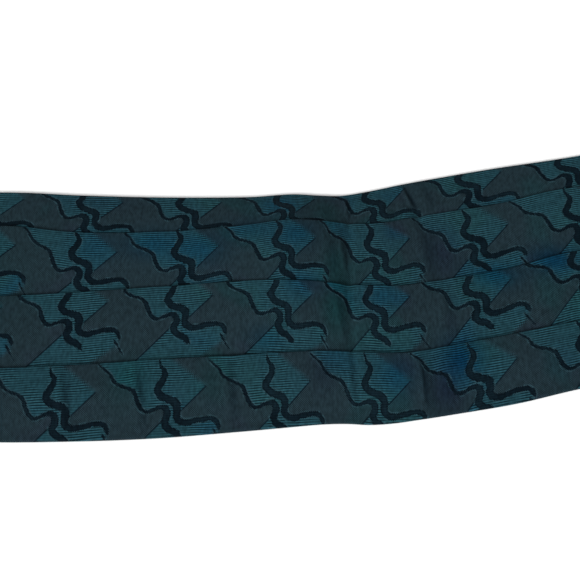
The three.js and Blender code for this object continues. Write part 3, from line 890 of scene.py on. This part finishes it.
def makeJacquard():
    look = jacquard
    material, tree, shader = newMaterial("Jacquard", Specular_IOR_Level=0.02)
    place = fieldOf(tree, "clothPlace")
    threads = threadsOf(tree, place, look)
    # the ribbons' edges step with the crossing yarns, more in some places than in others
    ragged = rangeOf(tree, noiseOf(tree, place, look["raggedScale"], 2.0), *look["raggedEdge"])
    crossed = calc(tree, "SUBTRACT", threads["Cross"], 0.5)
    steps = calc(tree, "MULTIPLY_ADD", crossed, look["edgeSteps"], ragged)
    upper, lower = (
        useGroup(tree, ribbonGroup, {"Field": fieldOf(tree, field), "Weave Steps": steps})
        for field in ("upperRibbon", "lowerRibbon")
    )
    edge, lined, wrinkleShade = partsOf(tree, fieldOf(tree, "patchEdgeAndShade"))
    ground = driftColour(tree, place, look["ground"], look["groundDrift"])
    patch = driftColour(tree, place, look["patch"], look["patchDrift"])
    uneven = noiseOf(tree, place, look["unevenScale"], 1.0)
    ribStrength = rangeOf(tree, uneven, *look["ribStrength"])
    ribShade = calc(tree, "MULTIPLY", calc(tree, "SUBTRACT", threads["Ribs"], 0.5), ribStrength)
    patch = blendColour(tree, 1.0, patch, calc(tree, "ADD", ribShade, 1.0), "MULTIPLY")
    crossShade = calc(tree, "MULTIPLY", crossed, rangeOf(tree, uneven, *look["crossStrength"]))
    twillShade = calc(tree, "MULTIPLY_ADD", threads["Twill"], *look["twillShade"])
    ground = blendColour(tree, 1.0, ground, calc(tree, "ADD", twillShade, crossShade), "MULTIPLY")
    # where no line bounds the patch, its edge is a lattice of crossing yarns
    reach = calc(tree, "MULTIPLY_ADD", lined, -look["lattice"], look["lattice"])
    lattice = calc(tree, "MULTIPLY", crossed, reach)
    patchMask = rangeOf(tree, calc(tree, "ADD", edge, lattice), *look["patchFade"])
    colour = blendColour(tree, patchMask, ground, patch)
    # the tint spots; the blue ones are partly painted sheen
    for tint, shade in zip(partsOf(tree, fieldOf(tree, "tint")), look["tintShades"]):
        colour = blendColour(tree, tint, colour, shade, "MULTIPLY")
    # painted shade: the far side of each wrinkle, away from the key light, is darkened in the colour
    dark = calc(tree, "MULTIPLY", wrinkleShade, look["wrinkleShadeShare"])
    colour = blendColour(tree, dark, colour, look["wrinkleShade"])
    line = rangeOf(tree, calc(tree, "ABSOLUTE", edge), *look["lineFade"])
    line = calc(tree, "MULTIPLY", line, calc(tree, "MULTIPLY", lined, look["lineStrength"]))
    colour = blendColour(tree, line, colour, look["fineLine"])
    broken = rangeOf(tree, noiseOf(tree, place, look["rimScale"], 1.0), *look["rimBreaks"])
    rim = calc(tree, "MULTIPLY", calc(tree, "MAXIMUM", upper["Rim"], lower["Rim"]), broken)
    colour = blendColour(tree, rim, colour, look["rim"])
    ribbonMask = calc(tree, "MAXIMUM", upper["Mask"], lower["Mask"])
    core = calc(tree, "MAXIMUM", upper["Core"], lower["Core"])
    brown = rangeOf(tree, noiseOf(tree, place, look["brownScale"], 1.0), *look["brownPlaces"])
    brown = calc(tree, "MULTIPLY", brown, calc(tree, "MULTIPLY_ADD", threads["Ribs"], 0.5, 0.5))
    core = calc(tree, "MULTIPLY", core, brown)
    ribbon = blendColour(tree, core, look["ribbon"], look["ribbonBrown"])
    colour = blendColour(tree, ribbonMask, colour, ribbon)
    yarn = rangeOf(tree, threads["Yarn"], *look["yarnShade"])
    colour = blendColour(tree, 1.0, colour, yarn, "MULTIPLY")
    tree.links.new(colour, shader.inputs["Base Color"])
    rough = calc(tree, "MULTIPLY_ADD", patchMask, look["patchRough"], look["rough"])
    rough = calc(tree, "MULTIPLY_ADD", ribbonMask, look["ribbonRough"], rough)
    tree.links.new(rough, shader.inputs["Roughness"])
    weave = calc(tree, "MULTIPLY", threads["Ribs"], patchMask)
    flat = calc(tree, "MULTIPLY", calc(tree, "SUBTRACT", 1.0, patchMask), look["twillBump"])
    weave = calc(tree, "ADD", weave, calc(tree, "MULTIPLY", threads["Twill"], flat))
    weave = calc(tree, "MULTIPLY_ADD", ribbonMask, look["ribbonBump"], weave)
    addBump(tree, shader, weave, look["bump"])
    return material


jacquardCloth = makeJacquard()

# Each cloth piece: its band, rows and CAD solid, its cut width and flat area in metres and square
# metres, and what it lies on.
clothPieces = {
    "panelBody": ("top", bodyRows, "panel_body", 0.148, 0.0857, "floor"),
    "pleatUpper": ("upper", upperRows, "pleat_upper", 0.058, 0.0323, "panelBody"),
    "pleatMiddle": ("middle", middleRows, "pleat_middle", 0.056, 0.0317, "pleatUpper"),
    "pleatLower": ("lower", hemRows, "pleat_lower", 0.054, 0.0307, "pleatMiddle"),
}

for name, (band, rowsOf, node, width, area, under) in clothPieces.items():
    piece = clothPiece(name, band, rowsOf)
    dress(piece, jacquardCloth, node)
print("panel: four cloth pieces")

# The end tabs are cloth sleeves over the narrow ends of the panel.
tab = {
    "overlap": 18.35,
    "reach": 24.0,
    "wall": 0.9,
    "floor": 1.1,  # under the panel's end
    "mouthTop": 7.6,
    "exitTop": 4.4,
    "sideClear": 1.6,
    "cornerRadius": 1.7,
    "columnStep": 0.8,
    "topPoints": 60,
    "cornerPoints": 6,
    "cornerShare": 0.45,  # the most of the sleeve's height that one corner may take
    "insetShare": 0.7,  # the inner corners are smaller by this share of the wall
    "narrowing": (0.6, 1.5),  # from past the panel's end to past the strap's exit
    "fallClear": 1.0,
    "foldStep": 0.5,  # drop of the upper face at each fold under it
    "foldReach": 7.0,
    "foldEdge": (1.2, -0.6),
    "foldFade": (3.0, 9.0),  # the folds show up to here, before and past the panel's end
    "bulge": (0.7, 6.0),  # drop and reach towards the sides
    "sideFade": 2.0,
    "seamInset": 2.6,
    "seamDip": 0.3,
    "seamWidth": 0.7,
    "pucker": 0.22,
    "puckerFade": (2.0, 3.0),
    "puckerPace": (1.15, 2.3),
    "puckerShare": 0.6,  # of the finer pucker
    "flat": (0.0424, 0.136),  # metres
    "area": 0.0048,  # square metres
}

strap = {
    "width": 25.0,
    "thickness": 1.2,
    "length": 130.0,
    "foldBack": 25.0,
    "ramp": 12.0,
    "inset": 3.0,
    "wrapAngle": 25.0,
    "barReach": 1.442,  # half the diagonal of the clasp's bar
    "gap": 0.35,
    "loopSteps": 28,
    "pathStep": 2.0,
    "roundings": 2,
    "roundShare": 0.25,
    "crossPoints": 16,
    "edgePoints": 5,
    "edgeShare": 0.85,
    "flat": (0.025, 0.160),  # metres
}

thread = {
    "length": 2.3,
    "gap": 0.9,
    "radius": 0.24,
    "sink": 0.08,
    "lift": 1.2,
    "thinnest": 0.04,  # square of the share that is left at a stitch's ends
    "sides": 6,
    "columns": 7,
    "sideClear": 2.2,
    "endClear": 1.5,
    "strapClear": 1.2,
    "strapRows": (4.0, 9.0),
    "mouthPoints": 80,
    "exitPoints": 40,
    "sidePoints": 80,
    "strapPoints": 30,
}

endSections = {side: sectionsAt(np.array([side * half])) for side in (-1, 1)}
strapMiddle = {side: float(s["top"][0] - s["height"][0] / 2) for side, s in endSections.items()}
mouthPlace = half - tab["overlap"]
exitPlace = half + tab["reach"]


def tabSpan(side, out):
    # Low and high side and top of a tab at a distance from the middle of the panel.
    s = sectionsAt(np.array([side * min(out, half)]))
    top, height = float(s["top"][0]), float(s["height"][0])
    narrowFrom, narrowTo = tab["narrowing"]
    narrow = smoothStep(out, half + narrowFrom, exitPlace + narrowTo)
    reach = strap["width"] / 2 + tab["sideClear"]
    low = (top - height - tab["sideClear"]) * (1 - narrow) + (strapMiddle[side] - reach) * narrow
    high = (top + tab["sideClear"]) * (1 - narrow) + (strapMiddle[side] + reach) * narrow
    fall = smoothStep(out, half - tab["fallClear"], exitPlace - tab["fallClear"])
    return low, high, tab["mouthTop"] + (tab["exitTop"] - tab["mouthTop"]) * fall


def tabTop(side, out, y):
    # Height of a tab's upper face: the steps of the folds under it, its seams and its puckers.
    low, high, top = tabSpan(side, out)
    s = endSections[side]
    before, past = tab["foldFade"]
    over = 1 - smoothStep(out, half - before, half + past)
    down = float(s["top"][0]) - y
    step = 0.0
    for fold in (s["upper"], s["centre"], s["lower"]):
        rise = tab["foldStep"] * smoothStep(fold[0] - down, tab["foldReach"], 0.0)
        step = step - rise * smoothStep(down, *(fold[0] + edge for edge in tab["foldEdge"]))
    beside = np.minimum(y - low, high - y)
    drop, reach = tab["bulge"]
    bulge = -drop * (1 - smoothStep(beside, 0.0, reach))
    seams = np.exp(-((beside - tab["seamInset"]) / tab["seamWidth"]) ** 2)
    for place in (mouthPlace + tab["seamInset"], exitPlace - tab["seamInset"]):
        seams = np.maximum(seams, np.exp(-((out - place) / tab["seamWidth"]) ** 2))
    past, before = tab["puckerFade"]
    gather = smoothStep(out, half + past, exitPlace - before)
    slow, fast = tab["puckerPace"]
    waves = np.sin(y * slow + side) + tab["puckerShare"] * np.sin(y * fast + 1.0)
    pucker = gather * waves * tab["pucker"]
    edge = 1 - smoothStep(beside, 0.0, tab["sideFade"])
    return top + step * over + bulge + (pucker - tab["seamDip"] * seams) * (1 - edge)


def arcPoints(y, z, radius, angles):
    return [(y + radius * math.cos(angle), z + radius * math.sin(angle)) for angle in angles]


def tabRing(side, out, inset):
    # Points round a tab, from the high side over its upper face to the low side and back below.
    low, high, top = tabSpan(side, out)
    low, high = low + inset, high - inset
    bottom = tab["floor"] if inset else 0.0
    radius = tab["cornerRadius"] - inset * tab["insetShare"]
    across = np.linspace(high - radius, low + radius, tab["topPoints"])
    upper = tabTop(side, out, across) - inset
    corner = np.linspace(0, math.pi / 2, tab["cornerPoints"] + 2)[1:-1]
    ring = list(zip(across, upper))
    # where the sleeve is low, its corners are rounder than they are tall unless they shrink
    lowRound = min(radius, tab["cornerShare"] * (upper[-1] - bottom))
    highRound = min(radius, tab["cornerShare"] * (upper[0] - bottom))
    ring += arcPoints(low + radius, upper[-1] - lowRound, lowRound, math.pi / 2 + corner)
    ring += arcPoints(low + radius, bottom + lowRound, lowRound, math.pi + corner)
    ring += [(y, bottom) for y in across[::-1]]
    ring += arcPoints(high - radius, bottom + highRound, highRound, 1.5 * math.pi + corner)
    ring += arcPoints(high - radius, upper[0] - highRound, highRound, corner)
    return np.array(ring)


def makeTab(name, side):
    count = int((exitPlace - mouthPlace) / tab["columnStep"]) + 1
    places = np.linspace(mouthPlace, exitPlace, count)
    layers = []
    for inset in (0.0, tab["wall"]):
        rings = []
        for out in places:
            ring = tabRing(side, out, inset)
            x = np.full(len(ring), side * out)
            rings.append(np.stack([x, ring[:, 0], ring[:, 1]], axis=1))
        layers.append(np.concatenate(rings))
    size = len(layers[0])
    ring = size // count
    outer = ringFaces(count, ring, closeEnds=False)
    inner = outer[:, ::-1] + size
    index = np.arange(ring)
    following = (index + 1) % ring
    last = size - ring
    mouth = np.stack([index, index + size, following + size, following], axis=1)
    leave = np.stack([following, following + size, index + size, index], axis=1) + last
    faces = np.vstack([outer, inner, mouth, leave])
    if side < 0:
        faces = faces[:, ::-1]
    points = np.concatenate(layers) + (*panelPlace, 0)
    return addMesh(name, points, faces)


def strapPath():
    # Middle line of a strap seen from the side: way out from the panel's end, and height.
    table = strap["thickness"] / 2
    inTab = tab["floor"] + strap["gap"] + table
    doubled = table + strap["thickness"] + strap["gap"]
    foldEnd = strap["length"] - strap["foldBack"]
    wrap = math.radians(strap["wrapAngle"])
    radius = strap["barReach"] + strap["gap"] + table
    overBar = table + radius * (1 + math.cos(wrap))
    rampStart = strap["length"] - radius * math.sin(wrap) - (overBar - doubled) / math.tan(wrap)
    marks = [
        (strap["gap"] + strap["inset"], inTab), (tab["reach"] + strap["gap"], inTab),
        (tab["reach"] + strap["ramp"], table), (foldEnd - strap["ramp"], table),
        (foldEnd - strap["gap"], doubled), (rampStart, doubled),
    ]
    for step in range(strap["loopSteps"] + 1):
        angle = math.pi / 2 + wrap + (-math.pi - wrap) * step / strap["loopSteps"]
        height = table + radius * (1 + math.sin(angle))
        marks.append((strap["length"] + math.cos(angle) * radius, height))
    marks.append((foldEnd, table))
    path = [marks[0]]
    for start, end in zip(marks[:-1], marks[1:]):
        parts = max(1, round(math.dist(start, end) / strap["pathStep"]))
        for k in range(1, parts + 1):
            path.append(tuple(a + (b - a) * k / parts for a, b in zip(start, end)))
    near = strap["roundShare"]
    for _ in range(strap["roundings"]):
        rounded = [path[0]]
        for start, end in zip(path[:-1], path[1:]):
            for share in (near, 1 - near):
                rounded.append(tuple(a * (1 - share) + b * share for a, b in zip(start, end)))
        path = [*rounded, path[-1]]
    return np.array(path)


def strapSection():
    # Outline across a strap: way across and off its middle line, with round edges.
    halfWidth, halfThick = strap["width"] / 2, strap["thickness"] / 2
    radius = halfThick * strap["edgeShare"]
    across = np.linspace(halfWidth - radius, radius - halfWidth, strap["crossPoints"])
    turn = np.linspace(0, math.pi, strap["edgePoints"] + 2)[1:-1]
    left = [(radius - halfWidth - radius * math.sin(a), halfThick * math.cos(a)) for a in turn]
    right = [(halfWidth - radius + radius * math.sin(a), -halfThick * math.cos(a)) for a in turn]
    upper = [(y, halfThick) for y in across]
    lower = [(y, -halfThick) for y in across[::-1]]
    return np.array([*upper, *left, *lower, *right])


def makeStrap(name, side):
    path = strapPath()
    forward = np.gradient(path, axis=0)
    forward /= np.linalg.norm(forward, axis=1)[:, None]
    normal = np.stack([-forward[:, 1], forward[:, 0]], axis=1)
    section = strapSection()
    ring = len(section)
    x = path[:, :1] + normal[:, :1] * section[None, :, 1]
    z = path[:, 1:] + normal[:, 1:] * section[None, :, 1]
    y = np.repeat(section[None, :, 0], len(path), axis=0) + strapMiddle[side]
    points = np.stack([side * (half + x), y, z], axis=-1).reshape(-1, 3) + (*panelPlace, 0)
    faces = ringFaces(len(path), ring, closeEnds=False)
    # a cap of facing pairs: the upper points against the lower ones, in the same order
    order = np.roll(np.arange(ring), 2)
    pair = np.arange(ring // 2 - 1)
    corners = (pair, ring - 1 - pair, ring - 2 - pair, pair + 1)
    cap = np.stack([order[corner] for corner in corners], axis=1)
    faces = np.vstack([faces, cap, cap[:, ::-1] + (len(path) - 1) * ring])
    if side < 0:
        faces = faces[:, ::-1]
    return addMesh(name, points, faces)


def stitchRow(points):
    # Round-ended stitches along a line of points, with their middles lifted out of the cloth.
    up = (0.0, 0.0, 1.0)
    points = np.asarray(points, float)
    steps = np.linalg.norm(np.diff(points, axis=0), axis=1)
    way = np.concatenate([[0], np.cumsum(steps)])
    pitch = thread["length"] + thread["gap"]
    found, faces = [], []
    sides, columns = thread["sides"], thread["columns"]
    for start in np.arange(thread["gap"] / 2, way[-1] - thread["length"], pitch):
        places = start + np.linspace(0, thread["length"], columns)
        line = np.stack([np.interp(places, way, points[:, axis]) for axis in range(3)], axis=1)
        share = np.linspace(-1, 1, columns)
        lift = thread["radius"] * (1 - share ** 2) * thread["lift"] - thread["sink"]
        line = line + np.asarray(up) * lift[:, None]
        radius = thread["radius"] * np.sqrt(np.maximum(1 - share ** 4, thread["thinnest"]))
        forward = line[-1] - line[0]
        forward /= np.linalg.norm(forward)
        beside = np.cross(forward, up)
        over = np.cross(beside, forward)
        angles = np.arange(sides) * 2 * math.pi / sides
        rings = line[:, None, :] + radius[:, None, None] * (
            np.cos(angles)[None, :, None] * beside + np.sin(angles)[None, :, None] * over
        )
        base = len(found) * sides * columns
        faces.append(ringFaces(columns, sides) + base)
        found.append(rings.reshape(-1, 3))
    return np.concatenate(found), np.concatenate(faces)


def makeStitches(name, side):
    # Stitches round a tab's seams and across the strap's doubled end.
    inset = tab["seamInset"]
    mouth, leave = mouthPlace + inset, exitPlace - inset
    lines = []
    for out, count in ((mouth, thread["mouthPoints"]), (leave, thread["exitPoints"])):
        low, high, _ = tabSpan(side, out)
        across = np.linspace(low + thread["sideClear"], high - thread["sideClear"], count)
        lines.append([(out, y) for y in across])
    clear = thread["endClear"]
    for edge, inward in ((0, inset), (1, -inset)):
        outs = np.linspace(mouth + clear, leave - clear, thread["sidePoints"])
        lines.append([(out, tabSpan(side, out)[edge] + inward) for out in outs])
    rows = [[(side * out, y, float(tabTop(side, out, y))) for out, y in line] for line in lines]
    doubledTop = 2 * strap["thickness"] + strap["gap"]
    reach = strap["width"] / 2 - thread["strapClear"]
    across = strapMiddle[side] + np.linspace(-reach, reach, thread["strapPoints"])
    for way in thread["strapRows"]:
        out = strap["length"] - strap["foldBack"] + way
        rows.append([(side * (half + out), y, doubledTop) for y in across])
    points, faces = [], []
    for row in rows:
        rowPoints, rowFaces = stitchRow(row)
        faces.append(rowFaces + sum(len(p) for p in points))
        points.append(rowPoints)
    return addMesh(name, np.concatenate(points) + (*panelPlace, 0), np.concatenate(faces))


def placeInMillimetres(tree):
    spot = addNode(tree, "ShaderNodeTexCoord").outputs["Object"]
    return addNode(tree, "ShaderNodeVectorMath", {0: spot, 3: 1000.0}, operation="SCALE").outputs[0]


plainCloth = {
    "colours": [screenColour(15, 28, 34), screenColour(19, 29, 37), screenColour(24, 38, 44)],
    "ribPitch": 1.5,
    "twillPitch": 0.9,
    "ribShare": 0.10,
    "twillShare": 0.45,
    "rough": 0.68,
}

webbing = {
    "colours": [screenColour(15, 19, 24), screenColour(20, 23, 30), screenColour(30, 34, 40)],
    "ribPitch": 1.25,
    "twillPitch": 0.7,
    "ribShare": 0.60,
    "twillShare": 0.20,
    "rough": 0.62,
}

# What both plain fabrics share.
fabric = {
    "drift": (16.0, 0.5),
    "yarnShade": (0.25, 0.75, 0.85, 1.15),
    "roughFade": (0.3, 0.7),
    "roughSpread": 0.12,
    "bump": (0.7, 0.00018),
}


def makeFabric(name, look):
    # Plain cloth or webbing with its weave, uneven yarn and paler worn spots.
    material, tree, shader = newMaterial(name, Specular_IOR_Level=0.05)
    place = placeInMillimetres(tree)
    threads = threadsOf(tree, place, look)
    ribShare, twillShare, rough = look["ribShare"], look["twillShare"], look["rough"]
    colour = driftColour(tree, place, look["colours"], fabric["drift"])
    ribs = calc(tree, "MULTIPLY_ADD", threads["Ribs"], ribShare, 1 - ribShare / 2)
    twill = calc(tree, "MULTIPLY_ADD", threads["Twill"], twillShare, 1 - twillShare / 2)
    colour = blendColour(tree, 1.0, colour, calc(tree, "MULTIPLY", ribs, twill), "MULTIPLY")
    yarn = rangeOf(tree, threads["Yarn"], *fabric["yarnShade"])
    colour = blendColour(tree, 1.0, colour, yarn, "MULTIPLY")
    tree.links.new(colour, shader.inputs["Base Color"])
    spread = (rough, rough + fabric["roughSpread"])
    roughness = rangeOf(tree, threads["Yarn"], *fabric["roughFade"], *spread)
    tree.links.new(roughness, shader.inputs["Roughness"])
    height = calc(tree, "MULTIPLY", threads["Ribs"], ribShare)
    height = calc(tree, "MULTIPLY_ADD", threads["Twill"], twillShare, height)
    addBump(tree, shader, height, fabric["bump"])
    return material


threadColours = {
    "dark": screenColour(24, 36, 43),
    "light": screenColour(38, 52, 60),
    "scale": 2.2,
    "fade": (0.35, 0.65),
    "rough": (0.3, 0.7, 0.5, 0.7),
}


def makeThreadMaterial():
    look = threadColours
    material, tree, shader = newMaterial("Thread", Specular_IOR_Level=0.2)
    noise = noiseOf(tree, placeInMillimetres(tree), look["scale"], 2.0)
    colour = blendColour(tree, rangeOf(tree, noise, *look["fade"]), look["dark"], look["light"])
    tree.links.new(colour, shader.inputs["Base Color"])
    tree.links.new(rangeOf(tree, noise, *look["rough"]), shader.inputs["Roughness"])
    return material


enamel = {
    "black": screenColour(20, 21, 23),
    "dusty": screenColour(34, 35, 37),
    "steel": screenColour(120, 122, 124),
    "cloudScale": 0.22,
    "fineScale": 1.6,
    "dustyFade": (0.35, 0.65),
    "rubbedClouds": (0.60, 0.72),
    "rubbedSpots": (0.55, 0.68),
    "rough": (0.3, 0.7, 0.28, 0.45),
    "coat": (0.3, 0.7, 0.35, 0.15),
    "bump": (0.25, 0.00005),
}


def makeEnamel():
    # Black enamel on steel, rubbed through in a few small spots.
    look = enamel
    material, tree, shader = newMaterial("Enamel", Coat_Roughness=0.15)
    place = placeInMillimetres(tree)
    cloudy = noiseOf(tree, place, look["cloudScale"], 4.0)
    fine = noiseOf(tree, place, look["fineScale"], 4.0)
    clouds = rangeOf(tree, cloudy, *look["rubbedClouds"])
    rubbed = calc(tree, "MULTIPLY", clouds, rangeOf(tree, fine, *look["rubbedSpots"]))
    colour = blendColour(tree, rangeOf(tree, cloudy, *look["dustyFade"]), look["black"], look["dusty"])
    colour = blendColour(tree, rubbed, colour, look["steel"])
    tree.links.new(colour, shader.inputs["Base Color"])
    tree.links.new(rubbed, shader.inputs["Metallic"])
    tree.links.new(rangeOf(tree, fine, *look["rough"]), shader.inputs["Roughness"])
    tree.links.new(rangeOf(tree, cloudy, *look["coat"]), shader.inputs["Coat Weight"])
    addBump(tree, shader, fine, look["bump"])
    return material


tabCloth = makeFabric("Tab cloth", plainCloth)
strapCloth = makeFabric("Webbing", webbing)
threadLook = makeThreadMaterial()
enamelLook = makeEnamel()

for word, side in (("Left", -1), ("Right", 1)):
    ending = word.lower()
    sleeve = makeTab("endTab" + word, side)
    dress(sleeve, tabCloth, "end_tab_" + ending)
    belt = makeStrap("strap" + word, side)
    dress(belt, strapCloth, "strap_" + ending)
    seams = makeStitches("stitches" + word, side)
    dress(seams, threadLook)
print("ends: tabs, straps and stitches")

clasp = {
    "weld": 0.01,
    "flatAngle": 1.0,  # faces that meet flatter than this are one face, so the edges round cleanly
    "edge": 0.03,  # rounding of the edges; the short facets in the corners leave room for no more
    "edgeSteps": 2,
    "edgeAngle": 50.0,
}

for name in ("clasp_eye", "clasp_hook"):
    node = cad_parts[name]
    weld = node.modifiers.new("Weld", "WELD")
    weld.merge_threshold = clasp["weld"] * mm
    flats = node.modifiers.new("Flats", "DECIMATE")
    flats.decimate_type = "DISSOLVE"
    flats.angle_limit = math.radians(clasp["flatAngle"])
    bevel = node.modifiers.new("Bevel", "BEVEL")
    bevel.width = clasp["edge"] * mm
    bevel.segments = clasp["edgeSteps"]
    bevel.limit_method = "ANGLE"
    bevel.angle_limit = math.radians(clasp["edgeAngle"])
    for surface in node.material_slots:
        surface.material = enamelLook
print("clasp: enamelled plates")

studio = {
    "floorSize": 12000.0,
    "cameraAim": (-48.754, -5.65, 0.0),
    "cameraDistance": 433.0,
    "cameraRise": 63.0,
    "lens": 57.79,
    "sensor": 36.0,
    "nearest": 10.0,
    "skyStrength": 0.64,
    "skySeen": 1.0,  # brightness of the backdrop behind the floor
    "keyStrength": 3.7,
    "keyFrom": (-0.62, -0.95, 0.72),  # only the direction counts
    "keySpread": 24.0,
    "floorColour": screenColour(250, 250, 250),
}


def makeStudio():
    bpy.ops.mesh.primitive_plane_add(size=studio["floorSize"] * mm)
    floor = bpy.context.object
    floor.name = "floor"
    material, _, shader = newMaterial("Floor", Roughness=0.9, Specular_IOR_Level=0.1)
    shader.inputs["Base Color"].default_value = studio["floorColour"]
    floor.data.materials.append(material)
    world = bpy.data.worlds.new("Studio")
    bpy.context.scene.world = world
    world.use_nodes = True
    tree = world.node_tree
    background = tree.nodes["Background"]
    background.inputs["Color"].default_value = (1, 1, 1, 1)
    seen = addNode(tree, "ShaderNodeLightPath").outputs["Is Camera Ray"]
    sky = studio["skyStrength"]
    strength = calc(tree, "MULTIPLY_ADD", seen, studio["skySeen"] - sky, sky)
    tree.links.new(strength, background.inputs["Strength"])
    lamp = bpy.data.lights.new("Key", "SUN")
    lamp.energy = studio["keyStrength"]
    lamp.angle = math.radians(studio["keySpread"])
    key = bpy.data.objects.new("Key", lamp)
    key.location = studio["keyFrom"]
    key.rotation_euler = (-key.location).to_track_quat("-Z", "Y").to_euler()
    bpy.context.scene.collection.objects.link(key)
    camera = bpy.data.objects.new("Camera", bpy.data.cameras.new("Camera"))
    rise = math.radians(studio["cameraRise"])
    aim = Vector(studio["cameraAim"]) * mm
    back = Vector((0, -math.cos(rise), math.sin(rise))) * studio["cameraDistance"] * mm
    camera.location = aim + back
    camera.rotation_euler = (math.pi / 2 - rise, 0, 0)
    camera.data.lens = studio["lens"]
    camera.data.sensor_width = studio["sensor"]
    camera.data.clip_start = studio["nearest"] * mm
    bpy.context.scene.collection.objects.link(camera)
    bpy.context.scene.camera = camera
    bpy.context.scene.view_settings.view_transform = "Standard"


makeStudio()
print("studio: floor, light and camera")
